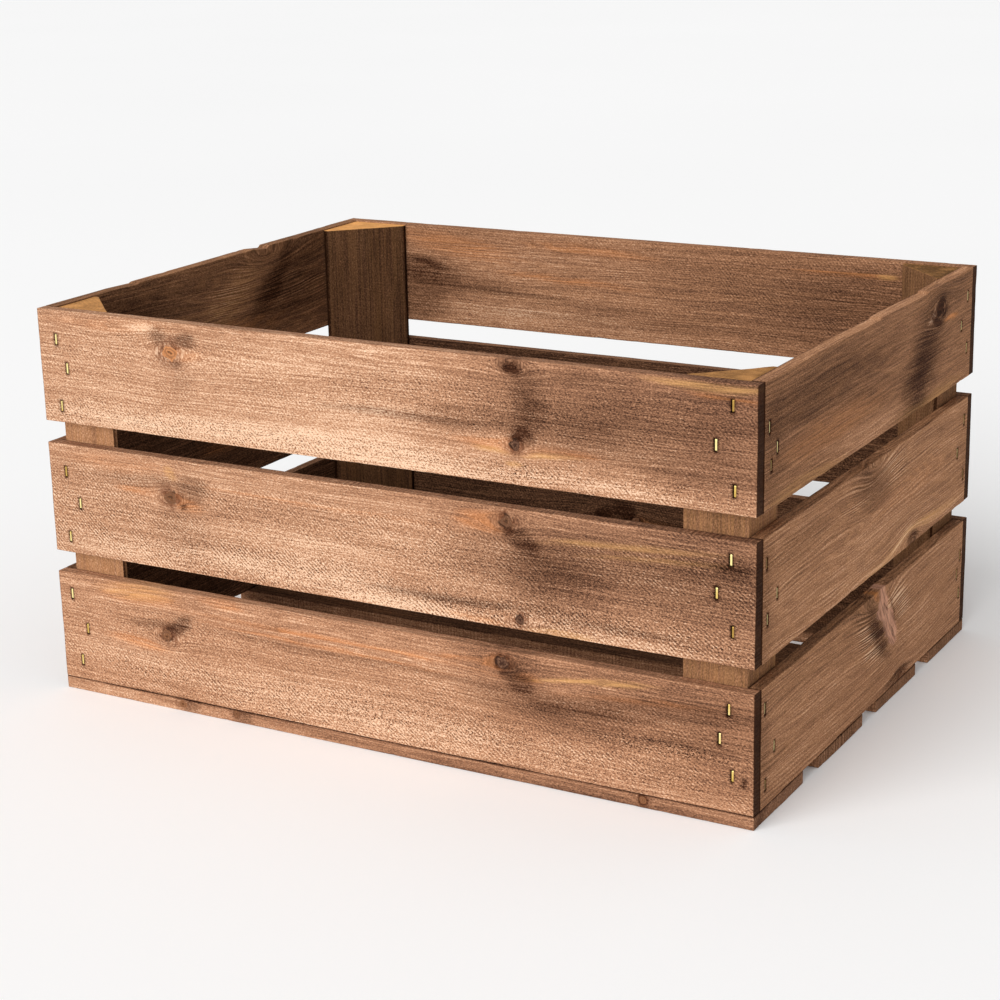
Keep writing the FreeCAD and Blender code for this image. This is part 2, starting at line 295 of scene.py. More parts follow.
LOOKS["right_slat_top"] = Look(
    tone=0.42,
    saw=(-60, 0.3),
    edges=-1.6,
    chips=((196, 262, 1.3), (120, 176, 0.9)),
    knots=((288, 16, 6, -1),),
    marks=(
        ("dark", (290, 14, 10, 6, 0.7, -20), (282, 20, 14, 3, 0.6, 16), (297, 19, 7, 3, 0.6, -30)),
        ("dark", (290, 16, 22, 16, 0.35), (246, 58, 46, 30, 0.4, -50), (264, 40, 50, 32, 0.6, -50)),
        ("comb", (262, 46, 44, 26, 0.5, -50)),
        ("pale", (292, 30, 10, 3, 0.1)),
        ("dark", (100, 20, 150, 15, 0.45), (100, 34, 120, 6, 0.25, 4)),
        ("dim", (60, 18, 120, 24, 0.05), (300, 8, 70, 12, 0.1)),
        ("dark", (10, 36, 20, 44, 0.3)),
        ("warm", (308, 23.5, 14, 1.8, 2.4, 8)),
        ("pale", (308, 23, 12, 1.3, 0.3, 8), (273, 17, 12, 1.5, 0.55, -18), (160, 65, 70, 10, 0.2)),
        ("yellow", (60, 70, 60, 4, 0.4), (270, 70, 60, 5, 0.4)),
        ("warm", (100, 48, 90, 10, 0.35)),
        ("smooth", (180, 40, 300, 60, 0.6)),
    ),
    rough=0.15,
    warmth=0.1,
    gold=0.12,
)
LOOKS["right_slat_middle"] = Look(
    tone=0.56,
    comb=0.15,
    saw=(-60, 0.25),
    knots=((176, -3, 10, -1), (246, 76, 8, -1)),
    marks=(
        ("dark", (172, 14, 36, 22, 0.5, 20)),
        ("comb", (238, 66, 26, 8, 0.6)),
        ("dim", (162, 6, 26, 10, 0.08)),
        ("pale", (232, 67, 22, 3, 0.16, -8)),
        ("comb", (210, 14, 26, 14, 0.7, 20), (150, 14, 30, 12, 0.5)),
        ("pale", (120, 50, 160, 24, 0.06)),
        ("dark", (248, 76, 12, 4, 0.8)),
        ("yellow", (250, 69, 90, 3.5, 0.5)),
        ("dim", (0, 36, 24, 50, 0.07), (358, 36, 24, 50, 0.07)),
        ("dark", (60, 18, 60, 8, 0.2), (4, 36, 12, 44, 0.3)),
        ("pale", (180, 70, 180, 3, 0.16)),
        ("warm", (240, 35, 80, 10, 0.15)),
        ("smooth", (180, 40, 300, 60, 0.7)),
    ),
    rough=0.1,
    wave=5,
    warmth=0.1,
    gold=0.16,
)
LOOKS["right_slat_bottom"] = Look(
    tone=0.55,
    comb=0.12,
    saw=(-60, 0.3),
    knots=((186, -2, 12, -1), (234, 76, 5, 0.3)),
    marks=(
        ("scar", (204, 18, 30, 9, 1.8, 57)),
        ("pale", (206, 18, 29, 7, 0.22, 57)),
        # Painted shadow: the first two dark marks in the next row lie along the scar's left side, where
        # shade falls beside it.
        ("dark", (190, 24, 36, 9, 0.62, 52), (184, 20, 34, 16, 0.35, 52), (203, 8, 9, 1, 0.9, 60)),
        ("dark", (216, 32, 9, 1, 0.7, 54), (214, 14, 14, 1.2, 0.7, 62)),
        ("warm", (184, 2.5, 6, 3, 1.6, 30)),
        ("comb", (174, 26, 40, 15, 1.9, 50), (230, 20, 26, 15, 1.5, 30)),
        ("pale", (228, 20, 22, 12, 0.06, 30), (255, 36, 44, 20, 0.07)),
        ("dim", (165, 6, 26, 14, 0.1)),
        ("dark", (226, 70, 26, 4, 0.6), (222, 26, 8, 14, 0.15, 30)),
        ("dim", (90, 6, 120, 14, 0.09)),
        ("dark", (4, 36, 12, 44, 0.3)),
        ("pale", (80, 60, 90, 8, 0.06)),
        ("smooth", (180, 40, 300, 60, 0.6)),
    ),
    rough=0.2,
    wave=4,
    warmth=0.08,
    gold=0.14,
)
LOOKS["back_slat_top"] = Look(
    tone=0.55,
    saw=(-50, 0.5),
    edges=0.3,
    inside=True,
    marks=(
        ("dark", (66, 42, 40, 22, 0.55), (96, 38, 60, 13, 0.3, 8), (72, 27, 20, 4, 0.35, 12)),
        ("dark", (60, 64, 30, 12, 0.35), (150, 46, 70, 2, 0.4, 2), (300, 52, 140, 2, 0.35)),
        ("warm", (90, 12, 60, 9, 0.6, 6), (195, 33, 60, 2.6, 0.8, 3), (210, 9, 60, 4, 0.6, 3)),
        ("smooth", (150, 18, 110, 20, 1.2)),
        ("pale", (190, 64, 90, 10, 0.09)),
        ("dim", (430, 36, 150, 60, 0.18), (70, 44, 50, 26, 0.05), (295, 28, 60, 30, 0.08)),
        ("sawn", (360, 30, 170, 40, 0.9)),
        ("warm", (410, 11, 40, 1.8, 0.9)),
        ("yellow", (440, 11, 8, 2, 0.7)),
        ("dark", (250, 60, 200, 5, 0.2), (430, 34, 110, 30, 0.4)),
        ("pale", (130, 60, 60, 10, 0.12), (150, 20, 50, 8, 0.06)),
    ),
    rough=0.3,
    warmth=0.08,
    gold=0.06,
)
LOOKS["left_slat_top"] = Look(
    tone=0.36,
    saw=(60, 0.2),
    edges=-0.6,
    inside=True,
    knots=((232, -7, 14, -1),),
    marks=(
        ("dark", (70, 20, 80, 20, 0.4), (236, 24, 40, 13, 0.5, -41), (264, 30, 60, 32, 0.45, -30)),
        ("dark", (290, 12, 50, 20, 0.25)),
        ("pale", (190, 22, 40, 16, 0.04, -25)),
        ("yellow", (190, 24, 44, 16, 0.25, -25)),
        ("dark", (290, 46, 80, 22, 0.4), (60, 16, 70, 30, 0.25)),
        ("dim", (300, 30, 60, 40, 0.06)),
        ("pale", (190, 18, 34, 12, 0.09, -20)),
        ("warm", (200, 50, 50, 8, 0.4)),
        ("comb", (262, 24, 50, 16, 0.9, 20), (190, 26, 34, 18, 0.9, -20)),
        ("smooth", (180, 40, 300, 60, 0.9)),
    ),
    rough=0.15,
    chips=((217, 234, 1.9), (60, 84, 0.8)),
    wave=7,
    warmth=0.1,
    gold=0.15,
)
LOOKS["bottom_slat_front"] = Look(
    tone=0.55,
    saw=(50, 0.1),
    lean=1,
    knots=((97, -5, 2.6, 0.4), (140, -6, 2.4, 0.3), (430, -5, 2.6, 0.4)),
    marks=(
        ("pale", (50, 4, 90, 12, 0.12)),
        ("dim", (430, 4, 170, 12, 0.22)),
        ("dark", (104, 2, 9, 6, 0.4), (146, 2, 7, 6, 0.4), (300, 4, 90, 5, 0.25)),
        ("warm", (60, 6, 60, 5, 0.5)),
    ),
    edges=-0.4,
    end=0.3,
)


def made_up_look(seed, tone, end=1.0):
    """The figure of a board that has none above, with one to three stained knots."""
    rng = np.random.default_rng(seed)
    knots = []
    marks = []
    for place in sorted(rng.uniform(0.1, 0.9, rng.integers(1, 4))):
        u = place * 350
        drop = rng.uniform(8, 66)
        knots.append((u, drop, rng.uniform(2.6, 4.8), rng.uniform(0, 0.8)))
        side = rng.choice((-1, 1))
        marks.append(("dark", (u + 9 * side, drop - 7, 10, 7, rng.uniform(0.4, 0.8), -20 * side)))
        marks.append(("warm", (u - 20 * side, drop + 2, 22, 2.4, rng.uniform(0.4, 0.8))))
    for _ in range(4):
        kind = rng.choice(("dark", "pale", "warm"))
        place = (rng.uniform(20, 460), rng.uniform(4, 70))
        half_size = (rng.uniform(30, 90), rng.uniform(2, 9))
        marks.append((kind, (*place, *half_size, rng.uniform(0.12, 0.35))))
    marks.append(("smooth", (250, rng.choice((4, 70)), 300, 9, 0.8)))
    marks.append(("rough", (250, rng.choice((12, 60)), 300, 10, 0.5)))
    saw = (rng.choice((-1, 1)) * rng.uniform(50, 62), rng.uniform(0.4, 1.0))
    edges = 0.0 if end < 1.0 else 1.0
    return Look(tone=tone, saw=saw, knots=knots, marks=marks, end=end, edges=edges, gold=0.08)


# The boards' figure, worked out at each vertex

# In knot radii: how long a knot is for its height, and where the grain feels it.
KNOT_LENGTH = 1.12
KNOT_PULL = 1.4
FAR_FROM_KNOT = 9.0

# A mark with more than this half height, in mm, is soft at its rim and even inside.
LARGE_MARK = 14.0
MARK_RIM = 1.28

# How far the colour of a sawn edge reaches, in mm, and how much the saw marks bow.
SAWN_EDGE = 0.4
SAW_BOW = 0.00012
COMB_LIMIT = 1.6


def knot_flow(u, drop, knots):
    """drop, bent so that the grain runs round the knots."""
    bent = drop.copy()
    for at_u, at_drop, radius, _ in knots:
        du = (u - at_u) / 2.0
        dd = drop - at_drop
        reach = (KNOT_PULL * radius) ** 2
        bent -= dd * reach / (du * du + dd * dd + 0.5 * reach)
    return bent


def knot_places(u, drop, knots):
    """Each point's place from its nearest knot in knot radii, and that knot's kind."""
    away = np.full(u.shape, FAR_FROM_KNOT)
    found = np.zeros(u.shape + (3,))
    found[..., 0] = FAR_FROM_KNOT
    for at_u, at_drop, radius, kind in knots:
        if kind < 0:
            continue
        du = np.abs(u - at_u) / (KNOT_LENGTH * radius)
        dd = (drop - at_drop) / radius
        distance = np.hypot(du, dd)
        nearer = distance < away
        away = np.where(nearer, distance, away)
        found[nearer, 0] = np.clip(du, -FAR_FROM_KNOT, FAR_FROM_KNOT)[nearer]
        found[nearer, 1] = np.clip(dd, -FAR_FROM_KNOT, FAR_FROM_KNOT)[nearer]
        found[nearer, 2] = kind
    return found


def mark_cover(mark, u, drop, flow, seed):
    """How much of a mark each point gets. The grain draws its outline out."""
    follows_grain = mark.half_length > 2.5 * mark.half_height
    across = flow if follows_grain else drop
    wander = 5 * min(1.0, mark.half_height / 8.0)
    stray = min(0.5 * mark.half_length, 14.0)
    du = u - mark.u + stray * sway(u / 60, across / 5, seed)
    dd = across - mark.drop + wander * sway(u / 30, across / 9, seed + 5)
    turn = math.radians(mark.slant)
    x = (du * math.cos(turn) + dd * math.sin(turn)) / mark.half_length
    y = (-du * math.sin(turn) + dd * math.cos(turn)) / mark.half_height
    solid, patchy = (0.1, 0.35) if mark.half_height > LARGE_MARK else (0.4, 0.7)
    streaks = 1 + patchy * sway(u / 45, across / 2.2, seed + 9)
    return mark.amount * (1 - fade(np.sqrt(x * x + y * y), solid, MARK_RIM)) * streaks


def mark_totals(look, u, drop, flow, seed):
    """How much of each kind of mark each point gets."""
    totals = {kind: np.zeros(u.shape) for kind in MARK_KINDS}
    marks = [(kind, Mark(*values)) for kind, *rows in look.marks for values in rows]
    for number, (kind, mark) in enumerate(marks):
        totals[kind] += mark_cover(mark, u, drop, flow, seed + 31 * number)
    return totals


def saw_places(look, u, drop, marks, seed):
    """Each point's place across and along the saw marks, and how strong they are there."""
    angle, strength = look.saw
    turn = math.radians(angle)
    across = u * math.sin(turn) + drop * math.cos(turn)
    along = u * math.cos(turn) - drop * math.sin(turn)
    bow = SAW_BOW * along * along
    cover = strength * (1 - np.clip(marks["smooth"], 0, 1) + marks["sawn"])
    cover = cover * (0.45 + 0.9 * noise(u / 50, drop / 18, seed + 8))
    return np.stack((across + bow + 41.0 * seed, along, cover), -1)


def board_figure(look, size, place, seed):
    """The vertex values of a board that its material reads."""
    length, width, thickness = size
    u, drop, depth = place
    u = length - u if look.inside else u
    leaned = drop - look.lean * depth
    flow = knot_flow(u, leaned, look.knots)
    flow = flow + 2 * look.wave * sway(u / 130, drop / 26, seed)
    flow = flow + 0.02 * u * (smooth_noise(seed * 3.7, 0.5, 3) - 0.5)
    marks = mark_totals(look, u, drop, flow, seed)
    planed = np.clip(marks["smooth"], 0, 1)
    sawn_edge = look.edges * (1 - fade(np.minimum(drop, width - drop), 0.0, SAWN_EDGE))
    # Painted shade: the faces that look into the crate are darker and dimmer, for the shade inside it;
    # boards with their marks on the inner face don't get it.
    inner = 0.0 if look.inside else fade(depth / thickness, 0.86, 0.99)
    dark = marks["dark"] + 0.25 * np.maximum(sawn_edge, 0) + 0.6 * inner
    tone = look.tone + marks["pale"] - marks["dim"] - 0.10 * sawn_edge - 0.20 * inner
    tone = tone + 0.14 * sway(u / 90, flow / 12, seed + 3)
    rough = look.rough * 2 * noise(u / 30, flow / 8, seed + 13) + marks["rough"]
    rough = rough * (1 - 0.7 * planed)
    comb = np.clip(marks["comb"] + look.comb, 0, COMB_LIMIT)
    return {
        "grain": np.stack((u + 613.0 * seed, flow + 87.0 * seed, depth), -1),
        "sawing": saw_places(look, u, drop, marks, seed),
        "knot": knot_places(u, leaned, look.knots),
        "tint": np.stack((tone, marks["warm"] + look.warmth, dark), -1),
        "touch": np.stack((marks["yellow"] + look.gold, rough, marks["scar"]), -1),
        "edge": np.stack((np.zeros(u.shape), planed, comb), -1),
    }


# Meshes


def add_object(name, data):
    """A new object in the scene."""
    made = bpy.data.objects.new(name, data)
    bpy.context.scene.collection.objects.link(made)
    return made


def add_mesh(name, places, faces, values, flat=()):
    """A smooth-shaded mesh object from places in mm, with its vertex values."""
    mesh = bpy.data.meshes.new(name)
    mesh.from_pydata((places * MM).tolist(), [], faces)
    smooth = np.ones(len(mesh.polygons), bool)
    smooth[list(flat)] = False
    mesh.polygons.foreach_set("use_smooth", smooth)
    for key, value in values.items():
        attribute = mesh.attributes.new(key, "FLOAT_VECTOR", "POINT")
        attribute.data.foreach_set("vector", value.astype(np.float32).ravel())
    mesh.validate()
    return add_object(name, mesh)


def box_shell(lines):
    """Points and quads of a box grid's skin, with each point's place in the grid."""
    counts = [len(line) for line in lines]
    skin = np.zeros(counts, bool)
    for axis in range(3):
        ends = [slice(None)] * 3
        for end in (0, -1):
            ends[axis] = end
            skin[tuple(ends)] = True
    ids = np.full(counts, -1)
    ids[skin] = np.arange(skin.sum())
    sheets = (ids[:, :, 0].T, ids[:, :, -1], ids[0].T, ids[-1], ids[:, 0, :], ids[:, -1, :].T)
    quads = [
        np.stack((s[:-1, :-1], s[1:, :-1], s[1:, 1:], s[:-1, 1:]), -1).reshape(-1, 4) for s in sheets
    ]
    at = np.argwhere(skin)
    points = [lines[axis][at[:, axis]] for axis in range(3)]
    return points, np.concatenate(quads), at


def grid_line(size, step, fixed):
    """Grid places from 0 to size: the fixed ones, and even ones where those leave room."""
    kept = sorted({round(float(f), 2) for f in fixed if 0 <= f <= size})
    margin = EDGE_LINES[-1]
    count = max(2, round((size - 2 * margin) / step) + 1)
    even = np.linspace(margin, size - margin, count)
    roomy = [e for e in even if np.abs(np.array(kept) - e).min() > GRID_ROOM]
    return np.array(sorted(kept + roomy))


def edge_places(size):
    """The grid places close to both ends of a line."""
    return [*EDGE_LINES, *(size - e for e in EDGE_LINES)]


def ease_edges(points, size, radius):
    """Rounds the edges and corners of a box's skin."""
    inner = [np.clip(p, radius, s - radius) for p, s in zip(points, size)]
    offset = [p - i for p, i in zip(points, inner)]
    distance = np.sqrt(sum(o * o for o in offset))
    scale = np.where(distance > radius, radius / np.maximum(distance, 1e-9), 1.0)
    return [i + o * scale for i, o in zip(inner, offset)]


def chip_profile(u, length, rng):
    """Extra rounding along one edge, where small chips have come off."""
    extra = np.zeros(u.shape)
    for _ in range(CHIPS_PER_EDGE):
        at = rng.uniform(CHIP_INSET, length - CHIP_INSET)
        half = rng.uniform(*CHIP_LENGTH)
        depth = rng.uniform(*CHIP_DEPTH) * rng.uniform(0.3, 1.0)
        extra = np.maximum(extra, depth * np.clip(1 - ((u - at) / half) ** 2, 0, 1))
    return extra


def edge_radius(points, size, seed):
    """How far the edges are rounded at each point."""
    rng = np.random.default_rng(seed)
    u, drop, depth = points
    length, width, thickness = size
    radius = EDGE_ROUND * (0.6 + 0.8 * smooth_noise(u / 22 + 5 * (depth > thickness / 2), drop / 22, seed))
    for upper in (True, False):
        for outer in (True, False):
            side = ((drop < width / 2) == upper) & ((depth < thickness / 2) == outer)
            radius = radius + side * chip_profile(u, length, rng)
    return radius


def cut_long_chips(drop, along, chips):
    """drop, moved down where a long chip is gone from the upper edge."""
    for start, stop, deep in chips:
        ramp = np.clip((along - start) / (stop - start), 0, 1)
        ramp = ramp * (1 - fade(along, stop, stop + LONG_CHIP_BREAK))
        drop = drop + deep * ramp * np.clip(1 - drop / LONG_CHIP_HEIGHT, 0, 1) ** 2
    return drop


def between(low, high, share):
    """low at one side, fading to minus high at the other."""
    return low * (1 - share) - high * share


def wear_board(points, size, look, seed):
    """A board's skin with worn edges, faces and ends."""
    length, width, thickness = size
    u, drop, depth = ease_edges(points, size, edge_radius(points, size, seed))
    hollows = [FACE_HOLLOW * noise(u / 45, drop / 14, seed + i) for i in (1, 2)]
    wanders = [EDGE_WANDER * noise(u / 70, 0.5, seed + i) for i in (3, 4)]
    left, right = [END_WANDER * noise(drop / 30, 0.5, seed + i) for i in (5, 6)]
    along = length - u if look.inside else u
    worn_depth = depth + between(*hollows, depth / thickness)
    worn_drop = cut_long_chips(drop, along, look.chips) + between(*wanders, drop / width)
    share = u / length
    worn_u = u + left * (1 - share) ** END_WANDER_POWER - right * share**END_WANDER_POWER
    return worn_u, worn_drop, worn_depth


def staple_crowns(node, origin, axes):
    """The outline of each staple's crown on a board's face, as (u low, u high, drop low, drop high)."""
    mesh = node.data
    places = np.array([v.co[:] for v in mesh.vertices]) / MM
    _, same = np.unique(np.round(places, 3), axis=0, return_inverse=True)
    same = same.ravel()
    group = np.arange(same.max() + 1)

    def root(i):
        while group[i] != i:
            i = group[i]
        return i

    for polygon in mesh.polygons:
        first = root(same[polygon.vertices[0]])
        for other in polygon.vertices[1:]:
            group[root(same[other])] = first
    owner = np.array([root(i) for i in same])
    local = np.stack([(places - origin) @ axis for axis in axes], -1)
    crowns = []
    for one in sorted(set(owner.tolist())):
        near = local[(owner == one) & (local[:, 2] < CROWN_DEPTH)]
        crowns.append((near[:, 0].min(), near[:, 0].max(), near[:, 1].min(), near[:, 1].max()))
    return crowns


def board_frame(node, outward, upward):
    """The upper left corner of a board's outer face, its three axes and its size, in mm."""
    low, high = (np.array(corner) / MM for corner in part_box(node))
    axes = np.array([upward.cross(outward)[:], (-upward)[:], (-outward)[:]])
    origin = np.where(axes.sum(0) > 0, low, high)
    size = np.abs(axes @ (high - low))
    return origin, axes, size


def board_lines(size, look, slots):
    """The grid lines of a board's skin, with more at its edges, knots and slots."""
    fixed = [edge_places(side) for side in size]
    fixed[0] += [size[0] - k[0] if look.inside else k[0] for k in look.knots if k[3] >= 0]
    for low_u, high_u, low_drop, high_drop in slots:
        fixed[0] += [low_u, low_u + SLOT_WALL, high_u - SLOT_WALL, high_u]
        fixed[1] += [low_drop, low_drop + SLOT_WALL, high_drop - SLOT_WALL, high_drop]
    return [grid_line(side, BOARD_STEP, places) for side, places in zip(size, fixed)]


def slot_cover(points, slots, outer):
    """Which points are on a slot's floor, and how much painted shade the wood round the slots gets."""
    sunk = np.zeros(outer.shape, bool)
    slot_shade = np.zeros(outer.shape)
    for low_u, high_u, low_drop, high_drop in slots:
        beyond_u = np.maximum(low_u - points[0], points[0] - high_u)
        beyond_drop = np.maximum(low_drop - points[1], points[1] - high_drop)
        sunk |= outer & (np.maximum(beyond_u, beyond_drop) < -SLOT_WALL / 2)
        away = np.hypot(np.maximum(beyond_u, 0), np.maximum(beyond_drop, 0))
        slot_shade = np.maximum(slot_shade, outer * (1 - fade(away, *SLOT_SHADE_REACH)))
    return sunk, slot_shade


def make_board(node, outward, upward, look, seed):
    """The detailed mesh of one slat, with a slot round each staple's crown."""
    origin, axes, size = board_frame(node, outward, upward)
    crowns = staple_crowns(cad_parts[node + "_staples"], origin, axes)
    grow = np.array((-SLOT_MARGIN, SLOT_MARGIN, -SLOT_MARGIN, SLOT_MARGIN))
    slots = [crown + grow for crown in crowns]
    points, quads, at = box_shell(board_lines(size, look, slots))
    values = board_figure(look, size, points, seed)
    u, drop, depth = wear_board(points, size, look, seed)
    sunk, slot_shade = slot_cover(points, slots, at[:, 2] == 0)
    scar = np.clip(values["touch"][:, 2], 0, 1)
    depth = depth + SCAR_DEPTH * scar * (1 - depth / size[2])
    depth = np.where(sunk, SLOT_DEPTH, depth)
    # Painted shade: the slot floors and the wood round each slot are darkened, for the shade in and round
    # the slots.
    values["tint"][:, 2] += 0.75 * slot_shade + 0.8 * sunk
    from_end = np.minimum(points[0], size[0] - points[0])
    values["edge"][:, 0] = look.end * (1 - fade(from_end, 0.05, 0.6))
    places = origin + np.stack((u, drop, depth), -1) @ axes
    flat = np.flatnonzero(sunk[quads].any(1))
    return add_mesh(node + "_wood", places, quads.tolist(), values, flat)


def round_outline(corners, radius, step):
    """A closed outline with its corners rounded, as points about one step apart."""
    outline = []
    count = len(corners)
    for i in range(count):
        before, here, after = corners[i - 1], corners[i], corners[(i + 1) % count]
        start = here + (before - here) / np.linalg.norm(before - here) * radius
        finish = here + (after - here) / np.linalg.norm(after - here) * radius
        for t in (0.0, 0.25, 0.5, 0.75, 1.0):
            outline.append((1 - t) ** 2 * start + 2 * t * (1 - t) * here + t * t * finish)
        next_start = after + (here - after) / np.linalg.norm(here - after) * radius
        run = np.linalg.norm(next_start - finish)
        pieces = max(1, round(run / step))
        for k in range(1, pieces):
            outline.append(finish + (next_start - finish) * k / pieces)
    return np.array(outline)


def post_frame(node):
    """A post's square corner, steps along its two legs, leg, bottom and top, in mm."""
    low, high = (np.array(corner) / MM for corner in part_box(node))
    outward = np.sign((low + high)[:2])
    corner = np.where(outward > 0, high[:2], low[:2])
    return SimpleNamespace(
        corner=corner,
        step_x=np.array((-outward[0], 0.0)),
        step_y=np.array((0.0, -outward[1])),
        leg=(high - low)[0],
        bottom=low[2],
        top=high[2],
    )


def post_outline(post):
    """A post's outline seen from above, anticlockwise."""
    corners = [
        post.corner,
        post.corner + post.step_x * post.leg,
        post.corner + post.step_x * post.leg + post.step_y * POST_BLUNT,
        post.corner + post.step_x * POST_BLUNT + post.step_y * post.leg,
        post.corner + post.step_y * post.leg,
    ]
    if post.step_x[0] * post.step_y[1] < 0:
        corners.reverse()
    return round_outline(corners, POST_EASE, POST_STEP)


def post_rows(post, outline, middle, waney, seed):
    """A post's points, one ring for each level."""
    height = post.top - post.bottom
    diagonal = (post.step_x + post.step_y) / math.sqrt(2)
    half_diagonal = post.leg / math.sqrt(2)
    free = fade((outline - post.corner) @ diagonal, half_diagonal - 3.5, half_diagonal + 1.0)
    side = (outline - post.corner) @ (post.step_x - post.step_y) / math.sqrt(2)
    away = outline - middle
    outwards = away / np.linalg.norm(away, axis=1)[:, None]
    rows = []
    for level in grid_line(height, POST_RISE, edge_places(height)):
        shrink = max(0.0, POST_EASE - min(level, height - level))
        ease = POST_EASE - math.sqrt(max(POST_EASE**2 - shrink**2, 0.0))
        hollow = LONG_FACE_HOLLOW * noise(side / 14, level / 60, seed)
        wane = waney * fade(level, height - WANEY_HEIGHT, height)
        wane = wane * noise(side / 13, level / 30, seed + 4)
        row = outline - outwards * ease - diagonal * ((hollow + wane) * free)[:, None]
        rows.append(np.column_stack((row, np.full(len(row), post.bottom + level))))
    return rows


def ring_quads(lower, upper):
    """The quads between two rings of vertex numbers."""
    return list(zip(lower, lower[1:] + lower[:1], upper[1:] + upper[:1], upper))


def end_cap(row, ring, free_number, middle, height):
    """The points and faces that close a post's top: rings that shrink to its middle, and a fan."""
    centre = np.append(middle, height)
    places = []
    faces = []
    for share in POST_END_RINGS:
        places.append(centre + (row - centre) * share)
        inner = list(range(free_number, free_number + len(row)))
        faces += ring_quads(ring, inner)
        ring = inner
        free_number += len(row)
    places.append(centre[None, :])
    faces += [(a, b, free_number) for a, b in zip(ring, ring[1:] + ring[:1])]
    return places, faces


def post_figure(post, places, look):
    """The vertex values of a post that its material reads."""
    x, y, z = places.T
    nothing = np.zeros(x.shape)
    at_top = fade(z, post.top - 0.35, post.top - 0.05)
    at_bottom = 1 - fade(z, post.bottom + 0.05, post.bottom + 0.35)
    end = np.maximum(at_top, at_bottom)
    across = (x - post.corner[0]) * post.step_x[0]
    inwards = (y - post.corner[1]) * post.step_y[1]
    from_slat = np.minimum(across, inwards)
    # Painted shadow: a dark strip on the post next to each slat, for the shade in the gap between post and
    # slat.
    seam_shadow = (from_slat > 0.2) * (1 - fade(from_slat, 1.2, 3.2))
    warp = 2.5 * sway(z / 90, across / 20, look.seed)
    tone = look.tone + 0.22 * sway(z / 60, across / 9, look.seed + 2)
    warm = 0.25 * noise(z / 80, across / 6, look.seed + 6)
    dark = look.dark * (0.6 + 0.8 * noise(z / 70, across / 7, look.seed + 7)) + 0.9 * seam_shadow
    return {
        "grain": np.stack((z + 613.0 * look.seed, across + warp, inwards + warp), -1),
        "sawing": np.stack((z * 0.94 + across * 0.34, across, nothing + 0.35), -1),
        "knot": np.stack((nothing + FAR_FROM_KNOT, nothing, nothing), -1),
        "tint": np.stack((tone, warm, dark), -1),
        "touch": np.stack((nothing + 0.28 - 0.3 * look.dark, nothing + 0.15, nothing), -1),
        "edge": np.stack((end, look.end_tone * end, nothing), -1),
    }


def make_post(node, look):
    """The detailed mesh of one corner post, a blunt-cornered triangle swept upwards."""
    post = post_frame(node)
    outline = post_outline(post)
    middle = post.corner + (post.step_x + post.step_y) * post.leg * POST_MIDDLE
    rows = post_rows(post, outline, middle, look.waney, look.seed)
    around = len(outline)
    rings = [list(range(j * around, (j + 1) * around)) for j in range(len(rows))]
    faces = []
    for lower, upper in zip(rings, rings[1:]):
        faces += ring_quads(lower, upper)
    used = around * len(rows)
    top_places, top_faces = end_cap(rows[-1], rings[-1], used, middle, post.top)
    used += around * len(POST_END_RINGS) + 1
    bottom_places, bottom_faces = end_cap(rows[0], rings[0], used, middle, post.bottom)
    faces += top_faces + [face[::-1] for face in bottom_faces]
    places = np.concatenate([*rows, *top_places, *bottom_places])
    return add_mesh(node + "_wood", places, faces, post_figure(post, places, look))


# Materials


def srgb(red, green, blue):
    """A colour given as 0 to 255 screen values, in linear light."""
    parts = [part / 255 for part in (red, green, blue)]
    return tuple(p / 12.92 if p <= 0.04045 else ((p + 0.055) / 1.055) ** 2.4 for p in parts) + (1.0,)


WOOD_TONES = (
    (0.0, srgb(62, 40, 30)),
    (0.25, srgb(104, 72, 55)),
    (0.5, srgb(150, 107, 80)),
    (0.75, srgb(192, 143, 110)),
    (1.0, srgb(238, 200, 168)),
)
WARM_COLOUR = srgb(206, 139, 80)
YELLOW_COLOUR = srgb(222, 168, 104)
STAIN_AND_SHADE_COLOUR = srgb(116, 102, 97)
SCAR_COLOUR = srgb(218, 162, 134)
KNOT_DARK = srgb(70, 46, 36)
KNOT_ORANGE = srgb(196, 132, 86)
KNOT_RING_DARK = srgb(112, 80, 62)
KNOT_WORN = srgb(210, 160, 120)
KNOT_HEART = srgb(42, 26, 20)
KNOT_BARK = srgb(40, 25, 19)
KNOT_HALO = srgb(138, 104, 86)
SLAT_END = srgb(44, 22, 11)
POST_END = srgb(178, 127, 75)
WIRE_TONES = (
    (0.0, srgb(176, 138, 62)),
    (0.5, srgb(226, 190, 96)),
    (1.0, srgb(255, 236, 160)),
)
FLOOR_TONES = (
    (0.3, (0.96, 0.96, 0.96, 1.0)),
    (0.7, (0.975, 0.975, 0.975, 1.0)),
)

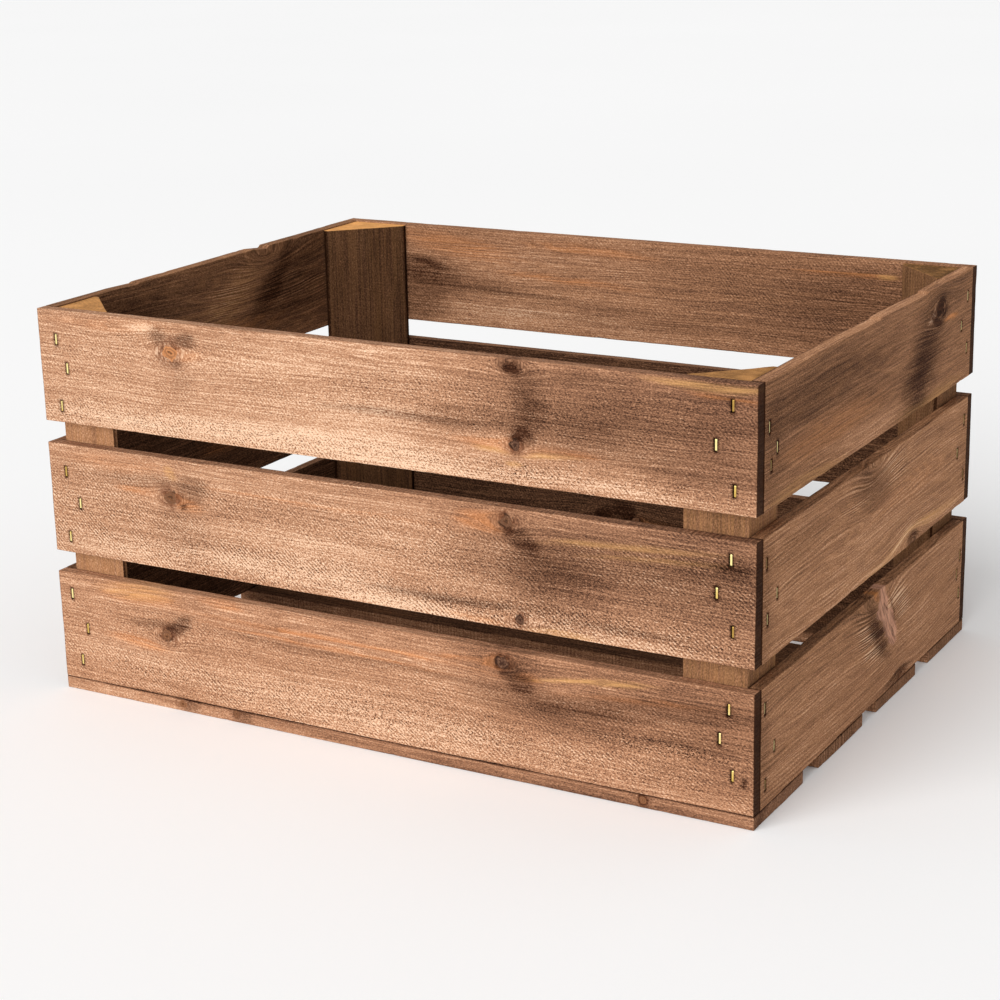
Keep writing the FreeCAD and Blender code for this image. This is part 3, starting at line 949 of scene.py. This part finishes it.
# The layers of noise in the wood: features to a mm along, across and into the grain (or across and
# along the saw marks), a shift that sets the layer apart, and the noise's detail and roughness.
LAYERS = {
    "streaks": ((0.008, 0.24, 0.15), 3.1),
    "rings": ((0.012, 0.95, 0.5), 7.7, 1.5, 0.6),
    "lines": ((0.05, 2.2, 1.4), 1.3, 1.0, 0.6),
    "fibres": ((0.75, 2.0, 1.8), 5.9, 1.5, 0.65),
    "specks": ((1.05, 1.25, 1.2), 9.4, 1.0, 0.5),
    "flecks": ((0.9, 1.7, 1.7), 4.6, 1.0, 0.5),
    "swell": ((0.0045, 0.045, 0.03), 12.3, 2.0, 0.45),
    "ring wander": ((0.006, 0.07, 0.05), 14.1),
    "saw wander": ((0.05, 0.025, 0.0), 3.3, 1.0, 0.5),
    "saw patches": ((0.09, 0.05, 0.0), 8.8, 1.0, 0.5),
    "saw breaks": ((1.35, 0.75, 0.0), 8.2, 1.0, 0.5),
    "scar lines": ((0.6, 0.07, 0.0), 2.2),
    "knot wobble across": ((0.17, 0.17, 0.0), 6.1, 2.0, 0.6),
    "knot wobble along": ((0.18, 0.18, 0.0), 16.7, 2.0, 0.6),
    "end pores": ((0.0, 1.6, 1.6), 3.3, 3.0, 0.6),
    "end blots": ((0.0, 0.10, 0.12), 9.3),
}
WOOD_ROUGHNESS = 0.7
WOOD_SPECULAR = 0.02
WOOD_BUMP = (0.0006, 0.75)
WIRE_METALLIC = 0.5
WIRE_ROUGHNESS = 0.3
WIRE_BUMP = (0.0001, 0.4)
FLOOR_ROUGHNESS = 0.9
FLOOR_SPECULAR = 0.1


class Nodes:
    """A short way to write a material's nodes."""

    def __init__(self, name):
        self.material = bpy.data.materials.new(name)
        self.material.use_nodes = True
        self.tree = self.material.node_tree
        self.shader = self.tree.nodes["Principled BSDF"]

    def feed(self, socket, value):
        """Links a value to a socket, or sets it there when it is plain."""
        if isinstance(value, bpy.types.NodeSocket):
            self.tree.links.new(value, socket)
        else:
            socket.default_value = value

    def node(self, kind, *inputs, output=0, **settings):
        """The output of a new node, with its settings and its first inputs given."""
        node = self.tree.nodes.new("ShaderNode" + kind)
        for key, value in settings.items():
            setattr(node, key, value)
        for socket, value in zip(node.inputs, inputs):
            self.feed(socket, value)
        return node.outputs[output]

    def vertex(self, name):
        """A vertex value that the mesh carries."""
        return self.node("Attribute", output="Vector", attribute_name=name)

    def place(self):
        """The place on the object, in metres."""
        return self.node("TexCoord", output="Object")

    def parts(self, vector):
        """A vector's three parts."""
        return tuple(self.node("SeparateXYZ", vector).node.outputs)

    def math(self, operation, a, b=0.0, c=0.0, clamp=False):
        """A sum on one to three values."""
        return self.node("Math", a, b, c, operation=operation, use_clamp=clamp)

    def add(self, *values):
        """All the values added."""
        return reduce(partial(self.math, "ADD"), values)

    def times(self, *values):
        """All the values multiplied."""
        return reduce(partial(self.math, "MULTIPLY"), values)

    def scaled(self, value, factor, offset):
        """The value times factor, plus offset."""
        return self.math("MULTIPLY_ADD", value, factor, offset)

    def rest(self, value):
        """1 minus the value."""
        return self.math("SUBTRACT", 1.0, value)

    def reach(self, x, y):
        """How far the point (x, y) is from zero."""
        return self.math("SQRT", self.add(self.times(x, x), self.times(y, y)))

    def noise(self, vector, scale, shift=0.0, detail=2.0, roughness=0.5):
        """Noise over a vector times scale, moved by shift."""
        shifts = (shift, 0.37 * shift, 0.71 * shift)
        moved = self.node("VectorMath", vector, scale, shifts, operation="MULTIPLY_ADD")
        return self.node("TexNoise", moved, 0.0, 1.0, detail, roughness)

    def layer(self, name, vector):
        """One of the wood's layers of noise."""
        return self.noise(vector, *LAYERS[name])

    def swing(self, noise, amount):
        """A noise value times amount, moved to swing round zero."""
        return self.scaled(noise, amount, -0.5 * amount)

    def fade(self, value, low, high):
        """The same fade as for vertices."""
        return self.node("MapRange", value, low, high, interpolation_type="SMOOTHSTEP")

    def ramp(self, value, stops):
        """The colour that the stops give to a value."""
        colour = self.node("ValToRGB", value)
        elements = colour.node.color_ramp.elements
        while len(elements) < len(stops):
            elements.new(0.5)
        for element, (place, tone) in zip(elements, stops):
            element.position = place
            element.color = tone
        return colour

    def mix(self, amount, a, b, blend="MIX"):
        """Colour a with an amount of colour b over it."""
        mixed = self.node("Mix", amount, output=2, data_type="RGBA", blend_type=blend, clamp_factor=True)
        for place, value in ((6, a), (7, b)):
            self.feed(mixed.node.inputs[place], value)
        return mixed

    def finish(self, colour, roughness, height, distance, strength):
        """Sets the shader's colour, roughness and bumps, and gives the material."""
        self.feed(self.shader.inputs["Base Color"], colour)
        self.shader.inputs["Roughness"].default_value = roughness
        if height is not None:
            bumps = self.node("Bump", strength, distance)
            self.feed(bumps.node.inputs["Height"], height)
            self.feed(self.shader.inputs["Normal"], bumps)
        return self.material


def read_wood(n):
    """The wood's vertex values and the noise that several steps use."""
    w = SimpleNamespace(grain=n.vertex("grain"), sawing=n.vertex("sawing"))
    w.tone, w.warm, w.dark = n.parts(n.vertex("tint"))
    w.yellow, w.rough, w.scar = n.parts(n.vertex("touch"))
    w.end, w.planed, w.comb = n.parts(n.vertex("edge"))
    w.knot_u, w.knot_drop, w.knot_kind = n.parts(n.vertex("knot"))
    w.saw_across, _, w.saw_cover = n.parts(w.sawing)
    _, w.flow, w.depth = n.parts(w.grain)
    w.streaks = n.layer("streaks", w.grain)
    w.rings = n.layer("rings", w.grain)
    w.lines = n.layer("lines", w.grain)
    w.fibres = n.layer("fibres", w.grain)
    w.figure = n.math("SINE", n.times(n.layer("swell", w.grain), 95.0))
    w.saw_breaks = n.layer("saw breaks", w.sawing)
    return w


def grow_rings(n, w, line_strength):
    """The year rings as waves across the grain, and how deep they are."""
    wander = n.layer("ring wander", w.grain)
    place = n.add(n.times(w.flow, 2.9), n.times(w.depth, 2.3), n.times(wander, 34.0))
    w.ring_wave = n.math("SINE", place)
    depth = n.scaled(w.comb, 0.26, 0.065 * line_strength)
    w.ring_depth = n.times(depth, n.fade(w.streaks, 0.25, 0.6))


def saw_wood(n, w):
    """The saw marks, in patches and broken up, and the pits that the saw tore."""
    wander = n.layer("saw wander", w.sawing)
    wave = n.math("SINE", n.add(n.times(w.saw_across, 3.06), n.times(wander, 14.0)))
    patch = n.fade(n.layer("saw patches", w.sawing), 0.35, 0.6)
    w.saw_marks = n.times(n.add(n.times(wave, patch, 0.10), n.swing(w.saw_breaks, 0.6)), w.saw_cover)
    w.pits = n.times(n.fade(n.layer("specks", w.grain), 0.57, 0.68), n.math("MINIMUM", w.rough, 1.4))


def wood_shade(n, w, line_strength):
    """How pale the wood is, for its ramp of tones."""
    flecks = n.times(n.fade(n.layer("flecks", w.grain), 0.56, 0.70), w.rough)
    figure_line = n.rest(n.fade(n.math("ABSOLUTE", w.figure), 0.0, 0.45))
    return n.add(
        w.tone,
        n.swing(w.streaks, 0.20),
        n.swing(w.rings, 0.36 * line_strength),
        n.swing(w.lines, 0.50 * line_strength),
        n.swing(w.fibres, 1.15),
        n.times(w.ring_wave, w.ring_depth),
        n.times(w.figure, n.scaled(w.planed, 0.035, 0.01)),
        n.times(figure_line, w.planed, -0.09),
        w.saw_marks,
        n.times(flecks, 0.18),
        n.times(w.pits, -0.42),
    )


def stain_and_shade_wood(n, w, colour):
    """The colour with its warm and yellow streaks, bared wood, and dark stain together with the painted
    shade that the dark value carries.
    """
    lines = n.fade(n.add(w.rings, n.swing(w.lines, 0.4)), 0.34, 0.62)
    lines = n.mix(n.times(w.planed, 0.75), lines, n.fade(w.figure, -0.15, 0.25))
    warm = n.times(w.warm, n.scaled(lines, 0.75, 0.25), 0.62)
    colour = n.mix(warm, colour, n.mix(0.55, colour, WARM_COLOUR, "OVERLAY"))
    colour = n.mix(n.times(warm, 0.55), colour, WARM_COLOUR)
    yellow = n.times(w.yellow, n.scaled(lines, 0.6, 0.4), 0.7)
    colour = n.mix(yellow, colour, YELLOW_COLOUR)
    scar_line = n.fade(n.layer("scar lines", w.sawing), 0.36, 0.62)
    scar_shade = n.mix(scar_line, n.mix(0.6, SCAR_COLOUR, KNOT_DARK), SCAR_COLOUR)
    colour = n.mix(n.times(n.fade(w.scar, 0.25, 0.75), 0.8), colour, scar_shade)
    # The dark value is stain and also painted shade: the crate's inner faces, the slots, the post seams
    # and the scar's side.
    stain = n.times(w.dark, n.add(n.swing(w.rings, -1.2), n.swing(w.fibres, -1.2), 1.0))
    return n.mix(stain, colour, n.mix(1.0, colour, STAIN_AND_SHADE_COLOUR, "MULTIPLY"))


def add_knots(n, w, colour):
    """The colour with its knots: a ringed core, bark round it and a darker halo."""
    wobble_across = n.layer("knot wobble across", w.sawing)
    wobble_along = n.layer("knot wobble along", w.sawing)
    knot_x = n.add(w.knot_u, n.swing(wobble_across, 1.3))
    knot_y = n.add(w.knot_drop, n.swing(wobble_along, 1.5))
    reach = n.reach(knot_x, knot_y)
    halo = n.times(n.rest(n.fade(reach, 0.9, 2.8)), n.fade(wobble_across, 0.34, 0.62), 0.8)
    colour = n.mix(halo, colour, n.mix(1.0, colour, KNOT_HALO, "MULTIPLY"))
    w.knot_rings = n.math("SINE", n.scaled(reach, 10.5, 1.8))
    core = n.mix(w.knot_kind, KNOT_DARK, KNOT_ORANGE)
    ring_colour = n.mix(w.knot_kind, KNOT_RING_DARK, n.mix(0.8, core, KNOT_DARK))
    core = n.mix(n.math("MULTIPLY_ADD", w.knot_rings, 0.36, 0.26, clamp=True), core, ring_colour)
    core = n.mix(n.fade(w.saw_breaks, 0.5, 0.75), core, n.mix(0.2, core, KNOT_WORN))
    core = n.mix(n.times(n.fade(reach, 0.34, 0.12), 0.6), core, KNOT_HEART)
    w.inside_knot = n.rest(n.fade(reach, 0.82, 1.02))
    colour = n.mix(w.inside_knot, colour, core)
    ring = n.times(n.fade(reach, 0.68, 0.88), n.rest(n.fade(reach, 0.98, 1.30)))
    broken = n.math("SUBTRACT", n.fade(wobble_along, 0.42, 0.58), n.times(w.knot_kind, 0.8), clamp=True)
    return n.mix(n.times(ring, broken, 0.85), colour, KNOT_BARK)


def cut_ends(n, w, colour, end_colour, end_amount):
    """The colour with end grain on the cut ends, in rings round a pith beside the wood."""
    pores = n.layer("end pores", w.grain)
    blots = n.layer("end blots", w.grain)
    reach = n.reach(n.math("ADD", w.flow, 16.0), n.math("ADD", w.depth, 7.0))
    rings = n.math("SINE", n.add(n.times(reach, 2.1), n.times(blots, 14.0)))
    shade = n.add(w.planed, 0.88, n.times(rings, 0.10), n.swing(pores, 1.3), n.swing(blots, 1.5))
    shade = n.node("CombineXYZ", *[n.math("MAXIMUM", shade, 0.25)] * 3)
    return n.mix(n.times(w.end, end_amount), colour, n.mix(1.0, end_colour, shade, "MULTIPLY"))


def wood_relief(n, w, line_strength):
    """How high the wood's surface stands, for its bumps."""
    return n.add(
        n.times(w.rings, 0.25 * line_strength),
        n.times(w.ring_wave, w.ring_depth, 1.2),
        n.times(w.lines, 0.3 * line_strength),
        n.times(w.fibres, 0.45),
        n.times(w.saw_marks, 1.2),
        n.times(w.pits, -0.5),
        n.times(w.knot_rings, w.inside_knot, 0.05),
    )


def wood_material(name, end_colour, end_amount, line_strength):
    """Sawn softwood with a brown stain: grain round knots, saw marks, torn pits, stain patches and painted
    shade.
    """
    n = Nodes(name)
    w = read_wood(n)
    grow_rings(n, w, line_strength)
    saw_wood(n, w)
    colour = n.ramp(wood_shade(n, w, line_strength), WOOD_TONES)
    colour = stain_and_shade_wood(n, w, colour)
    colour = add_knots(n, w, colour)
    colour = cut_ends(n, w, colour, end_colour, end_amount)
    n.shader.inputs["Specular IOR Level"].default_value = WOOD_SPECULAR
    return n.finish(colour, WOOD_ROUGHNESS, wood_relief(n, w, line_strength), *WOOD_BUMP)


def wire_material(name):
    """Brassy staple wire, a little spotted, that differs from staple to staple."""
    n = Nodes(name)
    place = n.place()
    spots = n.noise(place, (900.0, 900.0, 900.0))
    batch = n.noise(place, (37.0, 37.0, 37.0), 2.9, 0.0)
    colour = n.ramp(n.add(n.swing(spots, 0.6), n.fade(batch, 0.3, 0.65)), WIRE_TONES)
    n.shader.inputs["Metallic"].default_value = WIRE_METALLIC
    return n.finish(colour, WIRE_ROUGHNESS, spots, *WIRE_BUMP)


def floor_material(name):
    """Plain pale studio floor with a barely visible unevenness."""
    n = Nodes(name)
    colour = n.ramp(n.noise(n.place(), (0.8, 0.8, 0.8)), FLOOR_TONES)
    n.shader.inputs["Specular IOR Level"].default_value = FLOOR_SPECULAR
    return n.finish(colour, FLOOR_ROUGHNESS, None, 0.0, 0.0)


# Building the crate


class PostLook(NamedTuple):
    """The figure of one post. waney is how far, in mm, its long face strays near the top."""

    tone: float
    dark: float
    seed: int
    waney: float
    end_tone: float


POST_LOOKS = {
    "post_front_left": PostLook(tone=0.59, dark=0.0, seed=41, waney=1.5, end_tone=0.35),
    "post_front_right": PostLook(tone=0.39, dark=0.0, seed=42, waney=2.2, end_tone=0.02),
    "post_back_right": PostLook(tone=0.29, dark=0.2, seed=43, waney=0.0, end_tone=-0.5),
    "post_back_left": PostLook(tone=0.20, dark=0.4, seed=44, waney=0.0, end_tone=1.0),
}
SIDES = {"front": -Y_AXIS, "right": X_AXIS, "back": Y_AXIS, "left": -X_AXIS}
ROWS = ("bottom", "middle", "top")
BOTTOM_SLATS = ("bottom_slat_front", "bottom_slat_mid_front", "bottom_slat_mid_back", "bottom_slat_back")


def keep_piece(piece, node, material):
    """Puts a wooden piece in its CAD node's place."""
    piece.data.materials.append(material)
    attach(piece, "root")
    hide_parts(node)


def build_slats(material):
    """Every slat, each with a seed of its own."""
    seed = 1
    for side, outward in SIDES.items():
        for row in ROWS:
            node = f"{side}_slat_{row}"
            look = LOOKS.get(node) or made_up_look(seed, 0.50)
            keep_piece(make_board(node, outward, Z_AXIS, look, seed), node, material)
            seed += 1
    for node in BOTTOM_SLATS:
        look = LOOKS.get(node) or made_up_look(seed, 0.48, end=0.3)
        keep_piece(make_board(node, -Z_AXIS, -Y_AXIS, look, seed), node, material)
        seed += 1


def build_posts(material):
    """The four corner posts."""
    for node, look in POST_LOOKS.items():
        keep_piece(make_post(node, look), node, material)


def paint_staples(material):
    """Gives the staples' CAD meshes their wire."""
    for name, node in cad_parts.items():
        if name.endswith("_staples"):
            for place in node.material_slots:
                place.material = material


def towards(side, lift):
    """The direction out from the crate at two angles in degrees."""
    side = math.radians(side)
    lift = math.radians(lift)
    return Vector((math.sin(side) * math.cos(lift), -math.cos(side) * math.cos(lift), math.sin(lift)))


def build_floor():
    """A plain square of floor, in metres."""
    row = FLOOR_CELLS + 1
    ticks = np.linspace(-FLOOR_HALF, FLOOR_HALF, row)
    corners = [(x, y, 0.0) for y in ticks for x in ticks]
    starts = [j * row + i for j in range(FLOOR_CELLS) for i in range(FLOOR_CELLS)]
    mesh = bpy.data.meshes.new("floor")
    mesh.from_pydata(corners, [], [(s, s + 1, s + row + 1, s + row) for s in starts])
    mesh.materials.append(floor_material("studio_floor"))
    add_object("studio_floor", mesh)


def build_light():
    """Even light from all round, and a wide soft key light."""
    world = bpy.data.worlds.new("studio")
    world.use_nodes = True
    sky = world.node_tree.nodes["Background"]
    sky.inputs["Color"].default_value = (1.0, 1.0, 1.0, 1.0)
    sky.inputs["Strength"].default_value = WORLD_LIGHT
    bpy.context.scene.world = world

    lamp = bpy.data.lights.new("key", "SUN")
    lamp.energy = KEY_LIGHT
    lamp.angle = math.radians(KEY_SPREAD)
    key = add_object("key", lamp)
    direction = towards(KEY_SIDE, KEY_LIFT)
    key.rotation_euler = direction.to_track_quat("Z", "Y").to_euler()
    key.location = direction * KEY_DISTANCE


def build_camera():
    """A camera that sees the crate's front and right from a little above."""
    roll = math.radians(CAMERA_ROLL)
    back = towards(CAMERA_SIDE, CAMERA_LIFT)
    right = (-back).cross(Z_AXIS).normalized()
    up = right.cross(-back)
    turned_right = right * math.cos(roll) + up * math.sin(roll)
    turned_up = up * math.cos(roll) - right * math.sin(roll)
    data = bpy.data.cameras.new("camera")
    data.lens = CAMERA_LENS
    data.sensor_width = CAMERA_SENSOR
    data.clip_end = CAMERA_CLIP
    camera = add_object("camera", data)
    turn = Matrix((turned_right, turned_up, back)).transposed().to_4x4()
    camera.matrix_world = Matrix.Translation(CAMERA_AIM + back * CAMERA_DISTANCE) @ turn
    bpy.context.scene.camera = camera
    bpy.context.scene.view_settings.view_transform = "Standard"


build_slats(wood_material("stained_slat_wood", SLAT_END, 0.9, 1.0))
build_posts(wood_material("stained_post_wood", POST_END, 0.85, 0.2))
paint_staples(wire_material("brassy_wire"))
build_floor()
build_light()
build_camera()
